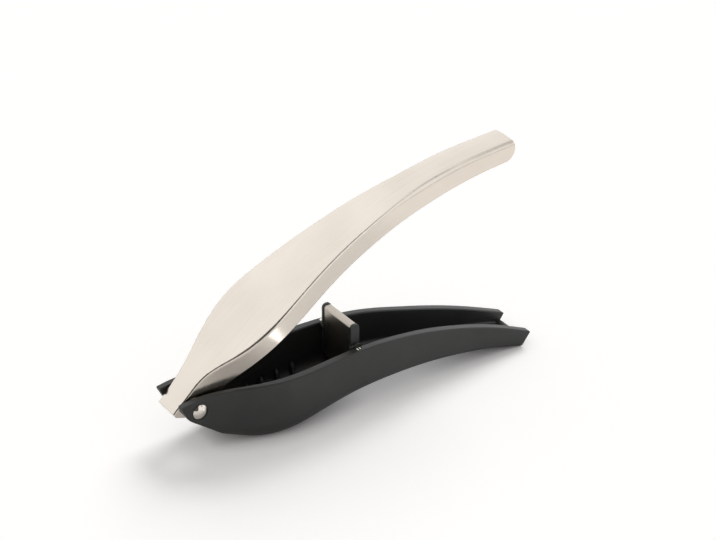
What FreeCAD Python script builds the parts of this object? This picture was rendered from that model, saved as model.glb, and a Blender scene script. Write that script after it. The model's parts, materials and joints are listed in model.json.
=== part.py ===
import FreeCAD, Part
import math
import os
from FreeCAD import Vector

# Lever nutcracker press: two spoon-shaped levers riveted at one end, with a folding stop plate.
# X runs from the pivot to the handle end, Z is up, and the press stands on Z = 0. Sizes are in mm.
# Both levers are drawn closed, with the pivot above X = 0. The upper lever is then swung open, and
# everything is moved so that X = 0 lies under the middle of the open press.

# Reach of the shapes that cut right through, and of a loft past the end that is cut off it
WIDE = 30.0
PAST_END = 3.0

# Pivot
PIVOT_Z = 22.3
REST_OPEN = 28.0
PIVOT_TO_MIDDLE = 83.9

# Lower lever: a trough with two walls, seen from the side (rim, belly) and from above (half width)
LOWER_X = (-12, 0, 12, 26, 42, 60, 80, 100, 120, 140, 160, 179)
LOWER_RIM = (26.3, 28.0, 28.3, 28.1, 28.4, 29.5, 30.5, 29.4, 25.8, 20.8, 14.3, 6.6)
LOWER_BELLY = (5.0, 8.0, 6.1, 0.6, 0.3, 3.7, 7.9, 9.6, 8.7, 6.7, 3.1, -1.6)
LOWER_HALF_WIDTH = (11.6, 11.7, 12.7, 16.0, 19.5, 19.3, 17.9, 16.5, 14.4, 13.2, 12.5, 12.8)
LOWER_BOTTOM_ROUND = (0.8, 1.0, 3.0, 7.0, 8.0, 8.0, 6.0, 4.0, 3.0, 2.0, 1.6, 1.4)
LOWER_WALL = (3.8, 3.6, 3.2, 3.3, 4.2, 4.3, 4.0, 3.9, 4.2, 4.3, 4.3, 4.3)
LOWER_FLOOR = 3.0
FLOOR_ROUND_LESS = 2.0
FLOOR_ROUND_LEAST = 1.0
RIM_ROUND = 0.7
EAR_GAP_RADIUS = 11.6
EAR_FACE_Y = 8.3

# Upper lever: a hollow shell, seen from the side (crease, skirt) and from above (half width).
# The draft draws the skirt in below the crease, and the crease itself is rounded.
UPPER_X = (-11, 0, 12, 26, 42, 60, 80, 100, 120, 140, 160, 178, 190)
UPPER_CREASE = (26.2, 29.7, 33.5, 35.6, 38.0, 39.9, 40.8, 40.2, 38.2, 34.9, 29.4, 22.6, 17.6)
UPPER_SKIRT = (14.0, 15.0, 20.2, 24.0, 28.0, 30.1, 31.1, 30.3, 27.9, 23.6, 18.6, 12.3, 7.6)
UPPER_HALF_WIDTH = (7.2, 7.2, 9.2, 15.6, 19.8, 18.8, 15.8, 13.1, 10.9, 9.1, 8.5, 8.1, 7.9)
UPPER_DRAFT = (0.0, 0.0, 1.3, 2.8, 1.3, 0.5, 0.4, 0.4, 0.4, 0.4, 0.4, 0.4, 0.4)
UPPER_CREASE_ROUND = (0.8, 0.9, 1.0, 1.3, 1.5, 1.5, 1.5, 1.4, 1.6, 3.6, 3.2, 3.0, 2.8)
UPPER_WALL = 2.2
SKIRT_ROUND = 0.6
OPEN_BELOW = 6.0
UPPER_TIP_X = 188.6
TIP_ROUND = 6.6
TIP_ROUND_Z = 17.7
TIP_CORNER = 9.55
NECK_END_X = -9.6
END_WALL = 2.4
CROWN_RATIO = 0.10
CROWN_REACH = 0.9

# Pivot rivet
RIVET_RADIUS = 2.5
RIVET_HEAD_RADIUS = 3.5
RIVET_HEAD_HEIGHT = 1.7
RIVET_HEAD_EDGE = 0.4
RIVET_SEAT_Y = 11.4
RIVET_SEAT_GAP = 0.3
RIVET_TIP_GAP = 0.1
RIVET_JOIN_Y = 3.0
RIVET_SPIGOT_RADIUS = 1.5
RIVET_HOLE_END_Y = 9.9
PRESSED_GAP = 0.02
RUNNING_GAP = 0.05
WASHER_RADIUS = 4.3
SPACER_RADIUS = 3.8
SPACER_HALF = 4.7

# Stop plate, folding about a pin across the trough
STOP_X = 79.8
STOP_PIN_Z = 29.6
STOP_TOP_Z = 40.6
STOP_BOTTOM_Z = 14.2
STOP_THICKNESS = 3.7
STOP_HALF_WIDTH = 10.9
STOP_CHEEK = 1.4
STOP_PIN_RADIUS = 1.25
STOP_PIN_HALF = 16.6
STOP_HUB_RADIUS = 2.4
HUB_SIDE_GAP = 0.3
CHEEK_EXTRA = 0.7
CHEEK_RISE = 0.5
PLATE_ROUNDS = (0.7, 1.5)
CHEEK_ROUNDS = (1.8, 2.0)
FOOT_ROUND = 0.5
STOP_RIB_GAP = 0.45
STOP_RIB_WIDTH = 1.8
STOP_RIB_HALF = 15.0
STOP_RIB_Z = 10.4
STOP_RIB_OVERLAP = 2.6

# Gripping ribs where the nut is cracked
RIB_PLACES = (30, 38, 46, 54, 62)
ROOF_RIB_PLACES = RIB_PLACES[1:]
RIB_WIDTH = 1.6
RIB_HEIGHT = 1.8
RIB_ROOT = 1.0
RIB_EDGE = 0.3
ROOF_RIB_DROP = 3.0

# Side outlines (x, z, corner radius): the ears and tail of one lever, the boss and tip of the other
TAIL_X = 178.3
TAIL_TOP_Z = 6.6
TAIL_CORNER = (
    (174, 20, 1), (174, 12, 1), (TAIL_X, TAIL_TOP_Z, 0.1), (190, TAIL_TOP_Z, 1), (190, 20, 1),
)
TAIL_BEAD_X = 175.4
TAIL_BEAD_Z = 1.4
TAIL_BEAD_RADIUS = 2.4
LOWER_OUTLINE = (
    (-3, 60, 1), (-3, 28.4, 0.1), (-9.5, 26.9, 1.5), (-5.7, 19.5, 8), (12.5, 6.4, 60), (25.7, 0, 1),
    (173.8, 0, 0.5), (178.5, 6.5, 1), (181.1, 60, 1),
)
BOSS_FACE_RADIUS = 5.9
BOSS_FACE_Y = 7.2
UPPER_OUTLINE = (
    (NECK_END_X, 60, 1), (NECK_END_X, 24.7, 1), (-5.8, 20.9, 1.2), (-5.6, 16.1, 3.8), (8, 16.1, 1),
    (14, 2, 1), (UPPER_TIP_X, 2, 1), (UPPER_TIP_X, 60, 1),
)


class Profile:
    """One size of a lever along X: a smooth natural cubic curve through its stations."""

    def __init__(self, stations, values):
        self.x = stations
        self.v = values
        count = len(stations)
        step = [stations[i + 1] - stations[i] for i in range(count - 1)]
        slope = [(values[i + 1] - values[i]) / step[i] for i in range(count - 1)]
        lower = [0.0] * count
        right = [0.0] * count
        for i in range(1, count - 1):
            pivot = 2 * (step[i - 1] + step[i]) - step[i - 1] * lower[i - 1]
            lower[i] = step[i] / pivot
            right[i] = (6 * (slope[i] - slope[i - 1]) - step[i - 1] * right[i - 1]) / pivot
        self.bend = [0.0] * count
        for i in range(count - 2, 0, -1):
            self.bend[i] = right[i] - lower[i] * self.bend[i + 1]

    def at(self, x):
        """The curve's height at x."""
        i = 0
        while i < len(self.x) - 2 and x > self.x[i + 1]:
            i += 1
        step = self.x[i + 1] - self.x[i]
        a = (self.x[i + 1] - x) / step
        b = (x - self.x[i]) / step
        bow = (a ** 3 - a) * self.bend[i] + (b ** 3 - b) * self.bend[i + 1]
        return a * self.v[i] + b * self.v[i + 1] + bow * step ** 2 / 6


rim = Profile(LOWER_X, LOWER_RIM)
belly = Profile(LOWER_X, LOWER_BELLY)
lower_half = Profile(LOWER_X, LOWER_HALF_WIDTH)
lower_wall = Profile(LOWER_X, LOWER_WALL)
bottom_round = Profile(LOWER_X, LOWER_BOTTOM_ROUND)
crease = Profile(UPPER_X, UPPER_CREASE)
skirt = Profile(UPPER_X, UPPER_SKIRT)
upper_half = Profile(UPPER_X, UPPER_HALF_WIDTH)
upper_draft = Profile(UPPER_X, UPPER_DRAFT)
crease_round = Profile(UPPER_X, UPPER_CREASE_ROUND)


def rounded(corners):
    """Closed wire through corners (point, radius), with a tangent arc at each corner."""
    ends = []
    edges = []
    for i, (point, radius) in enumerate(corners):
        before = (point - corners[i - 1][0]).normalize()
        after = (corners[(i + 1) % len(corners)][0] - point).normalize()
        half_turn = before.getAngle(after) / 2
        reach = radius * math.tan(half_turn)
        start = point - before * reach
        end = point + after * reach
        inward = (after - before).normalize()
        middle = point + inward * (radius / math.cos(half_turn) - radius)
        ends.append((start, end))
        edges.append(Part.Arc(start, middle, end).toShape())
    outline = []
    for i, arc in enumerate(edges):
        outline.append(arc)
        outline.append(Part.makeLine(ends[i][1], ends[(i + 1) % len(ends)][0]))
    return Part.Wire(outline)


def stations(first, last, step):
    """Evenly spaced places from first to last, about a step apart."""
    count = max(2, round((last - first) / step))
    return [first + (last - first) * i / count for i in range(count + 1)]


def loft(section, first, last, step=8.0):
    """Solid through the closed wires that section(x) gives between two places on X."""
    return Part.makeLoft([section(x) for x in stations(first, last, step)], True, False)


def side_prism(corners, half_width):
    """Outline in X and Z, with corners (x, z, radius), as a solid across the press."""
    points = [(Vector(x, -half_width, z), radius) for x, z, radius in corners]
    return Part.Face(rounded(points)).extrude(Vector(0, 2 * half_width, 0))


def block(x0, x1, half_width, z0, z1):
    """Box across the press, the same on both sides."""
    return Part.makeBox(x1 - x0, 2 * half_width, z1 - z0, Vector(x0, -half_width, z0))


def rod(x, z, radius, y0, y1):
    """Round bar along Y."""
    return Part.makeCylinder(radius, y1 - y0, Vector(x, y0, z), Vector(0, 1, 0))


def ring(x, z, outer, inner, y0, y1):
    """Tube or washer along Y."""
    return rod(x, z, outer, y0, y1).cut(rod(x, z, inner, y0 - 1, y1 + 1))


def outer_rods(radius, face_y):
    """Two round bars on the pivot's axis, outside the faces at +face_y and -face_y."""
    return [rod(0, PIVOT_Z, radius, *span) for span in ((-WIDE, -face_y), (face_y, WIDE))]


def floor_round(x):
    """Radius between the trough's floor and its walls."""
    return max(bottom_round.at(x) - FLOOR_ROUND_LESS, FLOOR_ROUND_LEAST)


def trough_section(x):
    """The lower lever's U across x: outer corners, rims and inner corners."""
    half = lower_half.at(x)
    low = belly.at(x)
    top = rim.at(x)
    floor = low + LOWER_FLOOR
    inner = half - lower_wall.at(x)
    side = [
        (half, low, bottom_round.at(x)),
        (half, top, RIM_ROUND),
        (inner, top, RIM_ROUND),
        (inner, floor, floor_round(x)),
    ]
    corners = side + [(-y, z, radius) for y, z, radius in reversed(side)]
    return rounded([(Vector(x, y, z), radius) for y, z, radius in corners])


def shell_corners(x, wall, low):
    """Outline of the upper lever across x, drawn in by a wall's thickness, down to low."""
    half = upper_half.at(x) - wall
    top = crease.at(x) - wall
    corner = crease_round.at(x) + 0.5 * wall
    apex = top + 2 * CROWN_RATIO * upper_half.at(x)
    slope = math.atan2(apex - top, half)
    run = math.hypot(half, apex - top)
    crown_reach = CROWN_REACH * (run - corner * math.tan((math.pi / 2 - slope) / 2))
    side = [(half - upper_draft.at(x), low, SKIRT_ROUND), (half, top, corner)]
    corners = side + [(0, apex, crown_reach / math.tan(slope))]
    corners += [(-y, z, radius) for y, z, radius in reversed(side)]
    return [(Vector(x, y, z), radius) for y, z, radius in corners]


def shell_outside(x):
    """Outer outline of the shell across x."""
    return rounded(shell_corners(x, 0, skirt.at(x)))


def shell_inside(x):
    """Outline of the hollow across x, open at the bottom."""
    return rounded(shell_corners(x, UPPER_WALL, skirt.at(x) - OPEN_BELOW))


def make_lower_lever():
    """Trough with two ears at the pivot, an open handle end and flats to stand on."""
    body = loft(trough_section, LOWER_X[0], TAIL_X + PAST_END)
    body = body.common(side_prism(LOWER_OUTLINE, WIDE))
    tail = side_prism(LOWER_OUTLINE, lower_half.at(TAIL_BEAD_X) - lower_wall.at(TAIL_BEAD_X) / 2)
    bead = rod(TAIL_BEAD_X, TAIL_BEAD_Z, TAIL_BEAD_RADIUS, -WIDE, WIDE).common(tail)
    stop_x = STOP_X + STOP_THICKNESS / 2 + STOP_RIB_GAP
    stop_rib = block(
        stop_x, stop_x + STOP_RIB_WIDTH, STOP_RIB_HALF, STOP_RIB_Z, STOP_BOTTOM_Z + STOP_RIB_OVERLAP
    )
    body = body.fuse([bead, stop_rib] + [trough_rib(x) for x in RIB_PLACES])
    body = body.cut(tail_corner())
    ear_gap = rod(0, PIVOT_Z, EAR_GAP_RADIUS, -EAR_FACE_Y, EAR_FACE_Y)
    bore = rod(0, PIVOT_Z, RIVET_RADIUS + RUNNING_GAP, -WIDE, WIDE)
    seats = outer_rods(RIVET_HEAD_RADIUS + RIVET_SEAT_GAP, RIVET_SEAT_Y)
    notch = block(STOP_X - STOP_PIN_RADIUS, STOP_X + STOP_PIN_RADIUS, STOP_PIN_HALF, STOP_PIN_Z, STOP_TOP_Z)
    pin_seat = rod(STOP_X, STOP_PIN_Z, STOP_PIN_RADIUS, -STOP_PIN_HALF, STOP_PIN_HALF)
    return body.cut([ear_gap, bore, notch, pin_seat] + seats)


def tail_corner():
    """What is cut away to round the end of each rim."""
    return side_prism(TAIL_CORNER, WIDE)


def trough_rib(x):
    """One gripping rib across the trough's floor and up its corners."""
    half = lower_half.at(x) - lower_wall.at(x)
    floor = belly.at(x) + LOWER_FLOOR
    inner_round = floor_round(x)
    top = floor + inner_round + RIB_ROOT
    side = [
        (half + RIB_ROOT, floor - RIB_ROOT, inner_round + RIB_ROOT),
        (half + RIB_ROOT, top, RIB_EDGE),
        (half - RIB_HEIGHT, top, RIB_EDGE),
        (half - RIB_HEIGHT, floor + RIB_HEIGHT, inner_round - RIB_HEIGHT),
    ]
    corners = side + [(-y, z, radius) for y, z, radius in reversed(side)]
    face = Part.Face(rounded([(Vector(x - RIB_WIDTH / 2, y, z), radius) for y, z, radius in corners]))
    return face.extrude(Vector(RIB_WIDTH, 0, 0))


def make_upper_lever():
    """Hollow shell with a sharp crease, a closed tip and a boss round the rivet."""
    body = loft(shell_outside, UPPER_X[0], UPPER_X[-1]).common(side_prism(UPPER_OUTLINE, WIDE))
    body = body.cut(loft(shell_inside, NECK_END_X + END_WALL, UPPER_TIP_X - END_WALL))
    body = body.fuse([shell_rib(x) for x in ROOF_RIB_PLACES])
    tip_round = rod(UPPER_TIP_X - TIP_ROUND, TIP_ROUND_Z, TIP_ROUND, -WIDE, WIDE)
    corner = block(UPPER_TIP_X - TIP_CORNER, UPPER_TIP_X + PAST_END, WIDE, 0, TIP_ROUND_Z)
    bore = rod(0, PIVOT_Z, RIVET_RADIUS + RUNNING_GAP, -WIDE, WIDE)
    return body.cut([corner.cut(tip_round), bore] + outer_rods(BOSS_FACE_RADIUS, BOSS_FACE_Y))


def shell_rib(x):
    """One gripping rib across the roof of the upper lever."""
    start = x - RIB_WIDTH / 2
    roof = crease.at(x) - UPPER_WALL
    root = shell_corners(start, UPPER_WALL - RIB_ROOT, roof - ROOF_RIB_DROP)
    hollow = shell_corners(start, UPPER_WALL + RIB_HEIGHT, roof - 2 * OPEN_BELOW)
    outside = Part.Face(rounded(root))
    inside = Part.Face(rounded(hollow))
    return outside.cut(inside).extrude(Vector(RIB_WIDTH, 0, 0))


def domed_head(side):
    """Rivet head on one ear, a flat disc under a shallow dome."""
    rise = RIVET_HEAD_HEIGHT - RIVET_HEAD_EDGE
    ball_radius = (RIVET_HEAD_RADIUS ** 2 + rise ** 2) / (2 * rise)
    crown_y = RIVET_SEAT_Y + RIVET_HEAD_HEIGHT
    disc = rod(0, PIVOT_Z, RIVET_HEAD_RADIUS, *sorted((side * RIVET_SEAT_Y, side * crown_y)))
    ball = Part.makeSphere(ball_radius, Vector(0, side * (crown_y - ball_radius), PIVOT_Z))
    return disc.common(ball)


def make_pivot_rivet():
    """Near half of the rivet: head, shank and the thinner end that is pressed into the far half."""
    shank = rod(0, PIVOT_Z, RIVET_RADIUS, -RIVET_SEAT_Y, RIVET_JOIN_Y)
    spigot = rod(0, PIVOT_Z, RIVET_SPIGOT_RADIUS, RIVET_JOIN_Y, RIVET_HOLE_END_Y - RIVET_TIP_GAP)
    return domed_head(-1).fuse([shank, spigot]).removeSplitter()


def make_rivet_cap():
    """Far half of the rivet: head and a tube over the near half's end."""
    tube = rod(0, PIVOT_Z, RIVET_RADIUS, RIVET_JOIN_Y + RUNNING_GAP, RIVET_SEAT_Y)
    hole = rod(0, PIVOT_Z, RIVET_SPIGOT_RADIUS + PRESSED_GAP, RIVET_JOIN_Y, RIVET_HOLE_END_Y)
    return domed_head(1).fuse(tube).removeSplitter().cut(hole)


def make_washer(side):
    """Nylon washer between the upper lever's boss and one ear."""
    span = sorted((side * (BOSS_FACE_Y + RUNNING_GAP), side * EAR_FACE_Y))
    return ring(0, PIVOT_Z, WASHER_RADIUS, RIVET_RADIUS + RUNNING_GAP, *span)


def make_pivot_spacer():
    """Tube on the rivet that keeps the hollow neck's two walls apart."""
    return ring(0, PIVOT_Z, SPACER_RADIUS, RIVET_RADIUS + RUNNING_GAP, -SPACER_HALF, SPACER_HALF)


def upright(thickness, high, rounds, y0, y1):
    """Plate standing across the trough, its top rounded at the back and at the front."""
    front = STOP_X - thickness / 2
    back = STOP_X + thickness / 2
    foot = [(front, STOP_BOTTOM_Z, FOOT_ROUND), (back, STOP_BOTTOM_Z, FOOT_ROUND)]
    corners = foot + [(back, high, rounds[0]), (front, high, rounds[1])]
    points = [(Vector(x, y0, z), radius) for x, z, radius in corners]
    return Part.Face(rounded(points)).extrude(Vector(0, y1 - y0, 0))


def make_stop_plate():
    """Metal plate that keeps the nut near the pivot, bored for the pin it folds on."""
    plate = upright(STOP_THICKNESS, STOP_TOP_Z, PLATE_ROUNDS, -STOP_HALF_WIDTH, STOP_HALF_WIDTH)
    return plate.cut(rod(STOP_X, STOP_PIN_Z, STOP_PIN_RADIUS + RUNNING_GAP, -WIDE, WIDE))


def make_stop_cheek(side):
    """Moulded cap on one end of the stop plate, with a hub that centres it between the walls."""
    hub_y = lower_half.at(STOP_X) - lower_wall.at(STOP_X) - HUB_SIDE_GAP
    cap_span = sorted((side * STOP_HALF_WIDTH, side * (STOP_HALF_WIDTH + STOP_CHEEK)))
    hub_span = sorted((side * STOP_HALF_WIDTH, side * hub_y))
    cap = upright(STOP_THICKNESS + CHEEK_EXTRA, STOP_TOP_Z + CHEEK_RISE, CHEEK_ROUNDS, *cap_span)
    hub = rod(STOP_X, STOP_PIN_Z, STOP_HUB_RADIUS, *hub_span)
    bore = rod(STOP_X, STOP_PIN_Z, STOP_PIN_RADIUS + RUNNING_GAP, -WIDE, WIDE)
    return cap.fuse(hub).cut(bore)


def make_stop_pin():
    """Pin across the trough, its ends lying in the notched rims."""
    half = STOP_PIN_HALF - RUNNING_GAP
    return rod(STOP_X, STOP_PIN_Z, STOP_PIN_RADIUS - PRESSED_GAP, -half, half)


def swung_open(shape, angle):
    """The shape turned about the pivot, handle end upwards."""
    turned = shape.copy()
    turned.rotate(Vector(0, 0, PIVOT_Z), Vector(0, -1, 0), angle)
    return turned


def build():
    """Every piece by name, in the open pose, in the frame that is exported."""
    fixed = {
        "lower_lever": make_lower_lever(),
        "pivot_rivet": make_pivot_rivet(),
        "rivet_cap": make_rivet_cap(),
        "near_washer": make_washer(-1),
        "far_washer": make_washer(1),
        "stop_plate": make_stop_plate(),
        "near_stop_cheek": make_stop_cheek(-1),
        "far_stop_cheek": make_stop_cheek(1),
        "stop_pin": make_stop_pin(),
    }
    swinging = {
        "upper_lever": make_upper_lever(),
        "pivot_spacer": make_pivot_spacer(),
    }
    pieces = dict(fixed)
    for name, shape in swinging.items():
        pieces[name] = swung_open(shape, REST_OPEN)
    return {name: shape.translated(Vector(-PIVOT_TO_MIDDLE, 0, 0)) for name, shape in pieces.items()}


os.makedirs("parts", exist_ok=True)
pieces = build()
for node, solid in pieces.items():
    solid.exportStep("parts/" + node + ".step")
    box = solid.optimalBoundingBox()
    size = f"{box.XLength:.1f} x {box.YLength:.1f} x {box.ZLength:.1f} mm"
    print(f"{node}: {solid.Volume / 1000:.2f} cm3, {size}, valid {solid.isValid()}")
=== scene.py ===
"""Looks of the lever nutcracker press: finishes, gripping ribs, studio and camera, in metres."""

import json
import logging
import math
from dataclasses import dataclass
from enum import Enum

import bpy
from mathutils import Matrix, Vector


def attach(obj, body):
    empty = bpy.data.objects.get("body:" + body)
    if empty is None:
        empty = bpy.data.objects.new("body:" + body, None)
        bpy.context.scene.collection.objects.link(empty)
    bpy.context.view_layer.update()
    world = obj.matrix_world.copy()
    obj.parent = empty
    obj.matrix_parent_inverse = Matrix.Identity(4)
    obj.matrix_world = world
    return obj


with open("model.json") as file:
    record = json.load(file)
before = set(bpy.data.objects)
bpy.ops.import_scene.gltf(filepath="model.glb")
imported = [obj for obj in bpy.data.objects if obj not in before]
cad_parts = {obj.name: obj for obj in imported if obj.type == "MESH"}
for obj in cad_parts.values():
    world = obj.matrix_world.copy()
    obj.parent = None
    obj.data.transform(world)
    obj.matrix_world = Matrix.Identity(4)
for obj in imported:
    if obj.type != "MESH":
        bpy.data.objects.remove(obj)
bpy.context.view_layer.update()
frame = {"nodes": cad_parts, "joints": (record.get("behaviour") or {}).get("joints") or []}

log = logging.getLogger("nutcracker")
MM = 0.001
HINGES = {joint["name"]: joint for joint in frame["joints"]}
PIVOT = Vector(HINGES["lever_hinge"]["pos_m"])
OPENED = math.radians(28)  # the upper lever's angle in the photo, past closed handles
WHITE = (1.0, 1.0, 1.0, 1.0)


class Slot(Enum):
    """Material slots of the record."""

    SATIN = "satin_metal"
    ENAMEL = "black_enamel"
    POLISHED = "polished_pin"
    BLACK_NYLON = "black_nylon"
    WHITE_NYLON = "white_nylon"


class Body(Enum):
    """Bodies that pieces ride on."""

    BASE = "base"
    TOP = "top"
    STOP = "stop"


def linear(code: str) -> tuple[float, float, float, float]:
    """Turn a colour into linear values.

    Args:
        code: sRGB colour as six hex digits.

    Returns:
        Linear red, green, blue and an alpha of one.
    """
    values = [int(code[i:i + 2], 16) / 255 for i in (0, 2, 4)]
    red, green, blue = (v / 12.92 if v <= 0.04045 else ((v + 0.055) / 1.055) ** 2.4 for v in values)
    return (red, green, blue, 1.0)


def add(
    tree: bpy.types.NodeTree,
    kind: str,
    values: dict[str | int, object] | None = None,
    links: dict[str | int, bpy.types.NodeSocket] | None = None,
    **settings: object,
) -> bpy.types.Node:
    """Add one node to a tree.

    Args:
        tree: Shader or geometry tree that gets the node.
        kind: Type name of the node.
        values: Values of inputs, by socket name or number.
        links: Sockets that feed inputs, by socket name or number.
        settings: Properties of the node itself.

    Returns:
        The new node.
    """
    node = tree.nodes.new(kind)
    for name, setting in settings.items():
        setattr(node, name, setting)
    for socket, value in (values or {}).items():
        node.inputs[socket].default_value = value
    for socket, source in (links or {}).items():
        tree.links.new(source, node.inputs[socket])
    return node


def new_material(name: str) -> tuple[bpy.types.Material, bpy.types.NodeTree]:
    """Make a material with an empty node tree."""
    material = bpy.data.materials.new(name)
    material.use_nodes = True
    material.node_tree.nodes.clear()
    return material, material.node_tree


def surface(
    tree: bpy.types.NodeTree,
    values: dict[str | int, object],
    links: dict[str | int, bpy.types.NodeSocket],
) -> None:
    """Add the Principled shader and the material's output."""
    shader = add(tree, "ShaderNodeBsdfPrincipled", values, links)
    add(tree, "ShaderNodeOutputMaterial", links={"Surface": shader.outputs[0]})


@dataclass(frozen=True)
class SatinZinc:
    """Die-cast zinc, satin plated and brushed along the lever.

    To the eye it is a warm pale grey that spreads every reflection, with faint lines that run with the
    handle's curve. The real lines are about 0.1 mm apart, too fine to show, so they are drawn 0.6 mm apart.
    """

    name: str = "satin_zinc_brushed"
    light: str = "DED6CC"
    deep: str = "D1C8BD"
    roughness: float = 0.2
    roughness_swing: float = 0.04
    line_spacing: float = 0.6 * MM
    line_length: float = 60 * MM
    cloud: float = 35 * MM
    bump: float = 0.01 * MM
    bow: float = 1.92
    bow_middle: float = 80 * MM
    bump_strength: float = 0.25
    grain_share: float = 0.5
    tone_range: tuple[float, float] = (0.45, 1.05)
    grain_range: tuple[float, float] = (0.3, 0.7)

    def along_lever(self, tree: bpy.types.NodeTree) -> bpy.types.NodeSocket:
        """Give coordinates that run straight along the bowed lever.

        Args:
            tree: The material's tree.

        Returns:
            Socket with distance along the lever, across it, and height off its bow.
        """
        place = add(tree, "ShaderNodeTexCoord")
        from_pivot = add(
            tree, "ShaderNodeVectorMath", {1: PIVOT}, {0: place.outputs["Object"]}, operation="SUBTRACT",
        )
        closed = add(
            tree, "ShaderNodeMapping", {"Rotation": (0.0, OPENED, 0.0)},
            {"Vector": from_pivot.outputs[0]},
        )
        parts = add(tree, "ShaderNodeSeparateXYZ", links={0: closed.outputs[0]})
        reach = add(
            tree, "ShaderNodeMath", {1: self.bow_middle}, {0: parts.outputs["X"]}, operation="SUBTRACT",
        )
        square = add(
            tree, "ShaderNodeMath", links={0: reach.outputs[0], 1: reach.outputs[0]}, operation="MULTIPLY",
        )
        height = add(
            tree, "ShaderNodeMath", {1: self.bow}, {0: square.outputs[0], 2: parts.outputs["Z"]},
            operation="MULTIPLY_ADD",
        )
        return add(
            tree, "ShaderNodeCombineXYZ",
            links={"X": parts.outputs["X"], "Y": parts.outputs["Y"], "Z": height.outputs[0]},
        ).outputs[0]

    def material(self) -> bpy.types.Material:
        """Build the material."""
        material, tree = new_material(self.name)
        along = self.along_lever(tree)
        stretch = 1 / self.line_spacing
        grain_place = add(
            tree, "ShaderNodeMapping", {"Scale": (1 / self.line_length, stretch, stretch)}, {"Vector": along},
        )
        grain = add(
            tree, "ShaderNodeTexNoise", {"Scale": 1.0, "Detail": 3.0, "Roughness": 0.6},
            {"Vector": grain_place.outputs[0]},
        )
        cloud = add(
            tree, "ShaderNodeTexNoise", {"Scale": 1 / self.cloud, "Detail": 2.0}, {"Vector": along},
        )
        both = add(
            tree, "ShaderNodeMath", {1: self.grain_share}, {0: grain.outputs[0], 2: cloud.outputs[0]},
            operation="MULTIPLY_ADD",
        )
        tone = add(
            tree, "ShaderNodeMapRange",
            {"From Min": self.tone_range[0], "From Max": self.tone_range[1]}, {"Value": both.outputs[0]},
        )
        colour = add(
            tree, "ShaderNodeMix", {6: linear(self.deep), 7: linear(self.light)}, {0: tone.outputs[0]},
            data_type="RGBA",
        )
        gloss = add(
            tree, "ShaderNodeMapRange",
            {"From Min": self.grain_range[0], "From Max": self.grain_range[1],
             "To Min": self.roughness - self.roughness_swing,
             "To Max": self.roughness + self.roughness_swing},
            {"Value": grain.outputs[0]},
        )
        bump = add(
            tree, "ShaderNodeBump", {"Strength": self.bump_strength, "Distance": self.bump},
            {"Height": grain.outputs[0]},
        )
        surface(
            tree, {"Metallic": 1.0},
            {"Base Color": colour.outputs[2], "Roughness": gloss.outputs[0], "Normal": bump.outputs[0]},
        )
        return material


@dataclass(frozen=True)
class GroundSteel:
    """Stainless steel plate, ground across its width.

    To the eye it is a shade darker than the plated lever, with short lines from side to side. They are
    drawn 0.4 mm apart, because the real grinding lines are too fine to show.
    """

    name: str = "stainless_steel_ground"
    light: str = "C0B8AE"
    deep: str = "ACA499"
    roughness: float = 0.3
    roughness_swing: float = 0.05
    line_spacing: float = 0.4 * MM
    line_length: float = 15 * MM

    def material(self) -> bpy.types.Material:
        """Build the material."""
        material, tree = new_material(self.name)
        place = add(tree, "ShaderNodeTexCoord").outputs["Object"]
        stretch = 1 / self.line_spacing
        lines_place = add(
            tree, "ShaderNodeMapping", {"Scale": (stretch, 1 / self.line_length, stretch)}, {"Vector": place},
        )
        lines = add(
            tree, "ShaderNodeTexNoise", {"Scale": 1.0, "Detail": 2.0}, {"Vector": lines_place.outputs[0]},
        )
        colour = add(
            tree, "ShaderNodeMix", {6: linear(self.deep), 7: linear(self.light)}, {0: lines.outputs[0]},
            data_type="RGBA",
        )
        gloss = add(
            tree, "ShaderNodeMapRange",
            {"To Min": self.roughness - self.roughness_swing,
             "To Max": self.roughness + self.roughness_swing},
            {"Value": lines.outputs[0]},
        )
        surface(
            tree, {"Metallic": 1.0}, {"Base Color": colour.outputs[2], "Roughness": gloss.outputs[0]},
        )
        return material


@dataclass(frozen=True)
class Coating:
    """A dull layer with a fine grain: satin enamel or moulded nylon.

    To the eye it is an even colour with a soft sheen, broken by a grain that only shows where light grazes.
    """

    name: str
    base: str
    worn: str
    roughness: float
    grain: float
    bump: float
    roughness_swing: float = 0.05
    bump_strength: float = 0.5
    mottle: float = 12 * MM
    mottle_range: tuple[float, float] = (0.3, 0.75)

    def material(self) -> bpy.types.Material:
        """Build the material."""
        material, tree = new_material(self.name)
        place = add(tree, "ShaderNodeTexCoord").outputs["Object"]
        grain = add(
            tree, "ShaderNodeTexNoise", {"Scale": 1 / self.grain, "Detail": 2.0}, {"Vector": place},
        )
        mottle = add(
            tree, "ShaderNodeTexNoise", {"Scale": 1 / self.mottle, "Detail": 3.0}, {"Vector": place},
        )
        tone = add(
            tree, "ShaderNodeMapRange",
            {"From Min": self.mottle_range[0], "From Max": self.mottle_range[1]},
            {"Value": mottle.outputs[0]},
        )
        colour = add(
            tree, "ShaderNodeMix", {6: linear(self.base), 7: linear(self.worn)}, {0: tone.outputs[0]},
            data_type="RGBA",
        )
        gloss = add(
            tree, "ShaderNodeMapRange",
            {"To Min": self.roughness - self.roughness_swing,
             "To Max": self.roughness + self.roughness_swing},
            {"Value": grain.outputs[0]},
        )
        bump = add(
            tree, "ShaderNodeBump", {"Strength": self.bump_strength, "Distance": self.bump},
            {"Height": grain.outputs[0]},
        )
        surface(
            tree, {},
            {"Base Color": colour.outputs[2], "Roughness": gloss.outputs[0], "Normal": bump.outputs[0]},
        )
        return material


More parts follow.
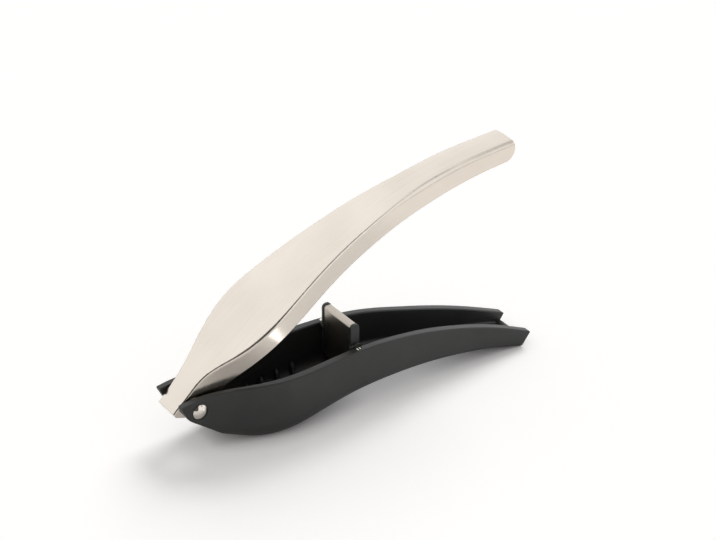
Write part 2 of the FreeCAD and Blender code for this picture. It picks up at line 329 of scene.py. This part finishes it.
@dataclass(frozen=True)
class PolishedSteel:
    """Turned and polished stainless steel.

    To the eye it is a small mirror that shows the lamps and the dark of the studio, with hairline scratches.
    """

    name: str = "stainless_steel_polished"
    light: str = "DFDAD2"
    deep: str = "CAC4BA"
    smoothest: float = 0.06
    roughest: float = 0.16
    scratch: float = 0.4 * MM

    def material(self) -> bpy.types.Material:
        """Build the material."""
        material, tree = new_material(self.name)
        place = add(tree, "ShaderNodeTexCoord").outputs["Object"]
        scratch = add(
            tree, "ShaderNodeTexNoise", {"Scale": 1 / self.scratch, "Detail": 4.0}, {"Vector": place},
        )
        colour = add(
            tree, "ShaderNodeMix", {6: linear(self.deep), 7: linear(self.light)}, {0: scratch.outputs[0]},
            data_type="RGBA",
        )
        gloss = add(
            tree, "ShaderNodeMapRange", {"To Min": self.smoothest, "To Max": self.roughest},
            {"Value": scratch.outputs[0]},
        )
        surface(
            tree, {"Metallic": 1.0}, {"Base Color": colour.outputs[2], "Roughness": gloss.outputs[0]},
        )
        return material


SATIN_ZINC = SatinZinc()
GROUND_STEEL = GroundSteel()
# Satin enamel baked on a zinc casting: near black with a green cast and a fine orange peel
SATIN_ENAMEL = Coating("satin_enamel_on_zinc", "242624", "2B2D2A", 0.46, 0.5 * MM, 0.01 * MM)
POLISHED_STEEL = PolishedSteel()
# Glass-filled nylon, moulded against a spark-eroded tool: dark grey and dull
BLACK_NYLON = Coating("black_nylon_moulded", "262A27", "2F3330", 0.5, 0.35 * MM, 0.02 * MM)
# Plain nylon sheet, stamped into washers: milky and smooth
WHITE_NYLON = Coating("white_nylon_stamped", "CFCBC0", "DAD7CD", 0.45, 0.6 * MM, 0.01 * MM)

Finish = SatinZinc | GroundSteel | Coating | PolishedSteel


def material_of(finish: Finish) -> bpy.types.Material:
    """Give the finish's material, built on first use."""
    return bpy.data.materials.get(finish.name) or finish.material()


def dress(node: str, finish: Finish) -> None:
    """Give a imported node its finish.

    Args:
        node: Name of the node.
        finish: Finish of its whole surface.
    """
    piece = frame["nodes"][node]
    piece.data.materials.clear()
    piece.data.materials.append(material_of(finish))
    log.info("%s is dressed in %s", node, finish.name)


@dataclass(frozen=True)
class RibCrests:
    """Round crests on a lever's gripping ribs, laid along each rib where it meets the nut.

    The tree works in the lever's own frame, with the pivot at the origin and the lever closed. It drops a
    row of lines on the ribs, keeps what lands on them, and gives each line a round section.
    """

    name: str
    lever: str
    body: Body
    first: float
    spacing: float
    count: int
    facing: float
    from_height: float
    limit: float
    opened: float = 0.0
    half_width: float = 15.5 * MM
    radius: float = 0.95 * MM
    sink: float = 0.35 * MM
    samples: int = 48
    sides: int = 12

    def inputs(self) -> dict[str, tuple[str, object]]:
        """Give the tree's inputs by name, each with its socket type and value."""
        return {
            "Lever": ("NodeSocketObject", frame["nodes"][self.lever]),
            "Pivot": ("NodeSocketVector", PIVOT),
            "Opened": ("NodeSocketFloat", self.opened),
            "First Rib": ("NodeSocketFloat", self.first),
            "Rib Spacing": ("NodeSocketFloat", self.spacing),
            "Rib Count": ("NodeSocketInt", self.count),
            "Half Width": ("NodeSocketFloat", self.half_width),
            "Start Height": ("NodeSocketFloat", self.from_height),
            "Facing": ("NodeSocketFloat", self.facing),
            "Height Limit": ("NodeSocketFloat", self.limit),
            "Crest Radius": ("NodeSocketFloat", self.radius),
            "Sink": ("NodeSocketFloat", self.sink),
            "Samples": ("NodeSocketInt", self.samples),
            "Sides": ("NodeSocketInt", self.sides),
            "Material": ("NodeSocketMaterial", None),
        }

    def tree(self) -> bpy.types.NodeTree:
        """Build the geometry tree."""
        tree = bpy.data.node_groups.new("rib_crests", "GeometryNodeTree")
        for label, (kind, _) in self.inputs().items():
            tree.interface.new_socket(label, in_out="INPUT", socket_type=kind)
        tree.interface.new_socket("Geometry", in_out="OUTPUT", socket_type="NodeSocketGeometry")
        given = add(tree, "NodeGroupInput").outputs
        shape = add(tree, "GeometryNodeObjectInfo", links={"Object": given["Lever"]}).outputs["Geometry"]
        zero = (0.0, 0.0, 0.0)
        to_pivot = add(tree, "ShaderNodeVectorMath", {0: zero}, {1: given["Pivot"]}, operation="SUBTRACT")
        centred = add(
            tree, "GeometryNodeTransform", links={"Geometry": shape, "Translation": to_pivot.outputs[0]},
        )
        turn = add(tree, "ShaderNodeCombineXYZ", links={"Y": given["Opened"]})
        closed = add(
            tree, "GeometryNodeTransform",
            links={"Geometry": centred.outputs[0], "Rotation": turn.outputs[0]},
        )
        left = add(tree, "ShaderNodeMath", {1: -1.0}, {0: given["Half Width"]}, operation="MULTIPLY")
        start = add(tree, "ShaderNodeCombineXYZ", links={"Y": left.outputs[0]})
        end = add(tree, "ShaderNodeCombineXYZ", links={"Y": given["Half Width"]})
        line = add(
            tree, "GeometryNodeCurvePrimitiveLine", links={"Start": start.outputs[0], "End": end.outputs[0]},
        )
        finer = add(
            tree, "GeometryNodeResampleCurve", links={"Curve": line.outputs[0], "Count": given["Samples"]},
        )
        first = add(
            tree, "ShaderNodeCombineXYZ", links={"X": given["First Rib"], "Z": given["Start Height"]},
        )
        step = add(tree, "ShaderNodeCombineXYZ", links={"X": given["Rib Spacing"]})
        places = add(
            tree, "GeometryNodeMeshLine",
            links={"Count": given["Rib Count"], "Start Location": first.outputs[0],
                   "Offset": step.outputs[0]},
        )
        rows = add(
            tree, "GeometryNodeInstanceOnPoints",
            links={"Points": places.outputs[0], "Instance": finer.outputs[0]},
        )
        lines = add(tree, "GeometryNodeRealizeInstances", links={"Geometry": rows.outputs[0]})
        way = add(tree, "ShaderNodeCombineXYZ", links={"Z": given["Facing"]})
        landing = add(
            tree, "GeometryNodeRaycast", {"Ray Length": 1.0},
            {"Target Geometry": closed.outputs[0], "Ray Direction": way.outputs[0]},
        )
        inward = add(
            tree, "ShaderNodeVectorMath", links={0: way.outputs[0], "Scale": given["Sink"]},
            operation="SCALE",
        )
        seat = add(
            tree, "ShaderNodeVectorMath", links={0: landing.outputs["Hit Position"], 1: inward.outputs[0]},
            operation="ADD",
        )
        laid = add(
            tree, "GeometryNodeSetPosition",
            links={"Geometry": lines.outputs[0], "Position": seat.outputs[0]},
        )
        spot = add(tree, "GeometryNodeInputPosition")
        height = add(tree, "ShaderNodeSeparateXYZ", links={0: spot.outputs[0]})
        signed = add(
            tree, "ShaderNodeMath", links={0: height.outputs["Z"], 1: given["Facing"]}, operation="MULTIPLY",
        )
        past = add(
            tree, "ShaderNodeMath", links={0: signed.outputs[0], 1: given["Height Limit"]},
            operation="LESS_THAN",
        )
        kept = add(
            tree, "GeometryNodeDeleteGeometry",
            links={"Geometry": laid.outputs[0], "Selection": past.outputs[0]}, domain="POINT",
        )
        section = add(
            tree, "GeometryNodeCurvePrimitiveCircle",
            links={"Resolution": given["Sides"], "Radius": given["Crest Radius"]},
        )
        crests = add(
            tree, "GeometryNodeCurveToMesh", {"Fill Caps": True},
            {"Curve": kept.outputs[0], "Profile Curve": section.outputs[0]},
        )
        back = add(tree, "ShaderNodeMath", {1: -1.0}, {0: given["Opened"]}, operation="MULTIPLY")
        swing = add(tree, "ShaderNodeCombineXYZ", links={"Y": back.outputs[0]})
        opened = add(
            tree, "GeometryNodeTransform",
            links={"Geometry": crests.outputs[0], "Rotation": swing.outputs[0]},
        )
        placed = add(
            tree, "GeometryNodeTransform",
            links={"Geometry": opened.outputs[0], "Translation": given["Pivot"]},
        )
        real = add(tree, "GeometryNodeRealizeInstances", links={"Geometry": placed.outputs[0]})
        smooth = add(tree, "GeometryNodeSetShadeSmooth", links={"Geometry": real.outputs[0]})
        dressed = add(
            tree, "GeometryNodeSetMaterial",
            links={"Geometry": smooth.outputs[0], "Material": given["Material"]},
        )
        add(tree, "NodeGroupOutput", links={"Geometry": dressed.outputs[0]})
        return tree

    def build(self, finish: Finish, slot: Slot) -> bpy.types.Object:
        """Lay the crests and hang them on the lever's body.

        Args:
            finish: Finish of the lever that the ribs are cast in.
            slot: Not used.

        Returns:
            The crests as one plain mesh.
        """
        carrier = bpy.data.objects.new("rib_carrier", bpy.data.meshes.new("rib_carrier"))
        bpy.context.scene.collection.objects.link(carrier)
        modifier = carrier.modifiers.new("rib_crests", "NODES")
        modifier.node_group = self.tree()
        values = {label: value for label, (_, value) in self.inputs().items()}
        values["Material"] = material_of(finish)
        for item in modifier.node_group.interface.items_tree:
            if item.in_out == "INPUT":
                modifier[item.identifier] = values[item.name]
        graph = bpy.context.evaluated_depsgraph_get()
        mesh = bpy.data.meshes.new_from_object(carrier.evaluated_get(graph))
        bpy.data.objects.remove(carrier)
        mesh.name = self.name
        crests = bpy.data.objects.new(self.name, mesh)
        bpy.context.scene.collection.objects.link(crests)
        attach(crests, self.body.value)
        log.info("%s: %d ribs, %d faces", self.name, self.count, len(mesh.polygons))
        return crests


@dataclass
class UpperLever:
    """Satin lever with its bulb, handle and pivot boss."""

    ribs: RibCrests = RibCrests(
        "upper_rib_crests", "upper_lever", Body.TOP, first=38 * MM, spacing=8 * MM, count=4, facing=1.0,
        from_height=0.0, limit=11 * MM, opened=OPENED, half_width=14 * MM,
    )

    def build(self) -> None:
        """Dress the lever and the spacer inside its neck, and round its ribs."""
        dress("upper_lever", SATIN_ZINC)
        dress("pivot_spacer", POLISHED_STEEL)
        self.ribs.build(SATIN_ZINC, Slot.SATIN)


@dataclass
class LowerLever:
    """Enamelled trough that the press stands on."""

    ribs: RibCrests = RibCrests(
        "lower_rib_crests", "lower_lever", Body.BASE, first=30 * MM, spacing=8 * MM, count=5, facing=-1.0,
        from_height=20 * MM, limit=1 * MM,
    )

    def build(self) -> None:
        """Dress the trough and round its ribs."""
        dress("lower_lever", SATIN_ENAMEL)
        self.ribs.build(SATIN_ENAMEL, Slot.ENAMEL)


@dataclass
class PivotRivet:
    """Two-part rivet with its washers."""

    def build(self) -> None:
        """Dress both halves and both washers."""
        for half in ("pivot_rivet", "rivet_cap"):
            dress(half, POLISHED_STEEL)
        for washer in ("near_washer", "far_washer"):
            dress(washer, WHITE_NYLON)


@dataclass
class FoldingStop:
    """Plate across the trough with its moulded cheeks and pin."""

    def build(self) -> None:
        """Dress the plate, the cheeks and the pin."""
        dress("stop_plate", GROUND_STEEL)
        for cheek in ("near_stop_cheek", "far_stop_cheek"):
            dress(cheek, BLACK_NYLON)
        dress("stop_pin", POLISHED_STEEL)


@dataclass(frozen=True)
class BroadKey:
    """Wide soft light from far off, which lights the whole table alike."""

    name: str = "key_light"
    azimuth: float = math.radians(30)
    elevation: float = math.radians(42)
    level: float = 1.9
    spread: float = math.radians(34)

    def build(self) -> None:
        """Hang the light and aim it at the press."""
        light = bpy.data.lights.new(self.name, "SUN")
        light.energy = self.level
        light.angle = self.spread
        lamp = bpy.data.objects.new(self.name, light)
        bpy.context.scene.collection.objects.link(lamp)
        flat = math.cos(self.elevation)
        origin = Vector(
            (flat * math.cos(self.azimuth), flat * math.sin(self.azimuth), math.sin(self.elevation))
        )
        lamp.rotation_mode = "QUATERNION"
        lamp.rotation_quaternion = (-origin).to_track_quat("-Z", "Y")
        lamp.visible_glossy = False


@dataclass(frozen=True)
class Lamp:
    """Rectangular card of light that only shows in reflections."""

    name: str
    place: tuple[float, float, float]
    target: tuple[float, float, float]
    width: float
    height: float
    radiance: float

    def build(self) -> None:
        """Hang the lamp and aim it."""
        light = bpy.data.lights.new(self.name, "AREA")
        light.shape = "RECTANGLE"
        light.size = self.width
        light.size_y = self.height
        light.energy = self.radiance * self.width * self.height * math.pi
        lamp = bpy.data.objects.new(self.name, light)
        bpy.context.scene.collection.objects.link(lamp)
        lamp.location = self.place
        aim = Vector(self.target) - Vector(self.place)
        lamp.rotation_mode = "QUATERNION"
        lamp.rotation_quaternion = aim.to_track_quat("-Z", "Y")
        lamp.visible_camera = False
        lamp.visible_diffuse = False


@dataclass(frozen=True)
class DarkPatch:
    """Unlit part of the surroundings, which metal mirrors along its rounded edges.

    It is darkest within the core and fades out at the edge, both in degrees from its middle.
    """

    towards: tuple[float, float, float]
    core: float
    edge: float
    level: float

    def build(self, tree: bpy.types.NodeTree, direction: bpy.types.NodeSocket) -> bpy.types.NodeSocket:
        """Add the patch to the surroundings.

        Args:
            tree: The world's tree.
            direction: Socket with the direction that is looked in.

        Returns:
            Socket with the share of light left, from the level at the core to one past the edge.
        """
        facing = add(
            tree, "ShaderNodeVectorMath", {1: Vector(self.towards).normalized()}, {0: direction},
            operation="DOT_PRODUCT",
        )
        return add(
            tree, "ShaderNodeMapRange",
            {"From Min": math.cos(math.radians(self.core)), "From Max": math.cos(math.radians(self.edge)),
             "To Min": self.level},
            {"Value": facing.outputs["Value"]}, interpolation_type="SMOOTHSTEP",
        ).outputs[0]


@dataclass
class Studio:
    """White table, pale surroundings, lights and the camera."""

    floor_half: float = 3.0
    floor_drop: float = 0.02 * MM
    floor_colour: str = "F4F2F0"
    floor_glow: float = 0.24
    # reach of the painted contact shadow that dims the table's glow near the press
    painted_shadow_reach: float = 9 * MM
    mirrored_glow: float = 0.5
    ambient: float = 0.46
    wall: float = 1.2
    # The wide one is the dark behind the camera. The others draw the crease along the upper lever.
    dark_patches: tuple[DarkPatch, ...] = (
        DarkPatch((-0.62, -0.68, 0.38), core=36, edge=42, level=0.08),
        DarkPatch((0.0, -0.66, 0.75), core=7, edge=20, level=0.1),
        DarkPatch((0.5, -0.2, 0.84), core=7, edge=11, level=0.5),
        DarkPatch((0.55, -0.48, 0.68), core=7, edge=11, level=0.4),
        DarkPatch((0.6, -0.65, 0.46), core=7, edge=11, level=0.5),
    )
    azimuth: float = -33.006
    elevation: float = 28.697
    eye: tuple[float, float, float] = (-0.48402, -0.75348, 0.55248)
    sensor: float = 36.0
    focal: float = 114.75
    lamps: tuple[BroadKey | Lamp, ...] = (
        BroadKey(),
        Lamp("front_card", (-0.018, -0.066, 0.003), (-0.050, -0.0195, 0.054), 0.008, 0.03, 2.4),
        Lamp("side_card", (0.245, -0.19, 0.001), (0.245, -0.19, 1.0), 0.21, 0.24, 0.25),
    )

    def sight(self) -> Vector:
        """Give the direction that the camera looks in."""
        turn, rise = math.radians(self.azimuth), math.radians(self.elevation)
        return Vector((-math.sin(turn) * math.cos(rise), math.cos(turn) * math.cos(rise), -math.sin(rise)))

    def build_camera(self) -> None:
        """Place the camera at the photograph's viewing angle."""
        data = bpy.data.cameras.new("camera")
        data.sensor_width = self.sensor
        data.lens = self.focal
        camera = bpy.data.objects.new("camera", data)
        bpy.context.scene.collection.objects.link(camera)
        camera.location = self.eye
        camera.rotation_mode = "QUATERNION"
        camera.rotation_quaternion = self.sight().to_track_quat("-Z", "Y")
        bpy.context.scene.camera = camera

    def build_floor(self) -> None:
        """Lay the table, glowing to white, with a painted contact shadow where something stands close."""
        half, low = self.floor_half, -self.floor_drop
        mesh = bpy.data.meshes.new("table")
        corners = [(-half, -half, low), (half, -half, low), (half, half, low), (-half, half, low)]
        mesh.from_pydata(corners, [], [(0, 1, 2, 3)])
        material, tree = new_material("white_table_laminate")
        rays = add(tree, "ShaderNodeLightPath")
        seen = add(
            tree, "ShaderNodeMath", {1: self.mirrored_glow},
            {0: rays.outputs["Is Glossy Ray"], 2: rays.outputs["Is Camera Ray"]}, operation="MULTIPLY_ADD",
        )
        shown = add(
            tree, "ShaderNodeMath",
            links={0: seen.outputs[0], 1: rays.outputs["Is Transmission Ray"]}, operation="MAXIMUM",
        )
        full = add(tree, "ShaderNodeMath", {1: self.floor_glow}, {0: shown.outputs[0]}, operation="MULTIPLY")
        # painted contact shadow: ambient occlusion dims the table's glow close to the press
        clear = add(tree, "ShaderNodeAmbientOcclusion", {"Distance": self.painted_shadow_reach}).outputs["AO"]
        glow = add(tree, "ShaderNodeMath", links={0: full.outputs[0], 1: clear}, operation="MULTIPLY")
        surface(
            tree,
            {"Base Color": linear(self.floor_colour), "Roughness": 0.9, "Specular IOR Level": 0.0,
             "Emission Color": WHITE},
            {"Emission Strength": glow.outputs[0]},
        )
        mesh.materials.append(material)
        floor = bpy.data.objects.new("table", mesh)
        bpy.context.scene.collection.objects.link(floor)

    def build_world(self) -> None:
        """Surround the press with pale walls that fall dark where the camera stands."""
        world = bpy.data.worlds.new("studio")
        world.use_nodes = True
        tree = world.node_tree
        tree.nodes.clear()
        rays = add(tree, "ShaderNodeLightPath")
        reach = add(tree, "ShaderNodeTexCoord")
        level = add(tree, "ShaderNodeValue")
        level.outputs[0].default_value = self.wall
        shade = level.outputs[0]
        for patch in self.dark_patches:
            left = patch.build(tree, reach.outputs["Generated"])
            shade = add(tree, "ShaderNodeMath", links={0: shade, 1: left}, operation="MULTIPLY").outputs[0]
        ambient = add(tree, "ShaderNodeBackground", {"Color": WHITE, "Strength": self.ambient})
        walls = add(tree, "ShaderNodeBackground", {"Color": WHITE}, {"Strength": shade})
        backdrop = add(tree, "ShaderNodeBackground", {"Color": WHITE, "Strength": 1.0})
        reflected = add(
            tree, "ShaderNodeMath",
            links={0: rays.outputs["Is Glossy Ray"], 1: rays.outputs["Is Transmission Ray"]},
            operation="MAXIMUM",
        )
        lit = add(
            tree, "ShaderNodeMixShader",
            links={0: reflected.outputs[0], 1: ambient.outputs[0], 2: walls.outputs[0]},
        )
        seen = add(
            tree, "ShaderNodeMixShader",
            links={0: rays.outputs["Is Camera Ray"], 1: lit.outputs[0], 2: backdrop.outputs[0]},
        )
        add(tree, "ShaderNodeOutputWorld", links={0: seen.outputs[0]})
        bpy.context.scene.world = world

    def build(self) -> None:
        """Set up the table, the surroundings, the lamps and the camera."""
        self.build_camera()
        self.build_floor()
        self.build_world()
        for lamp in self.lamps:
            lamp.build()
        bpy.context.scene.view_settings.view_transform = "Standard"
        log.info("the studio is set up")


def main() -> None:
    """Build every sub-assembly and the studio."""
    logging.basicConfig(level=logging.INFO, format="%(message)s")
    Studio().build()
    for assembly in (LowerLever(), UpperLever(), PivotRivet(), FoldingStop()):
        assembly.build()
        log.info("%s is done", type(assembly).__name__)


if __name__ == "__main__":
    main()
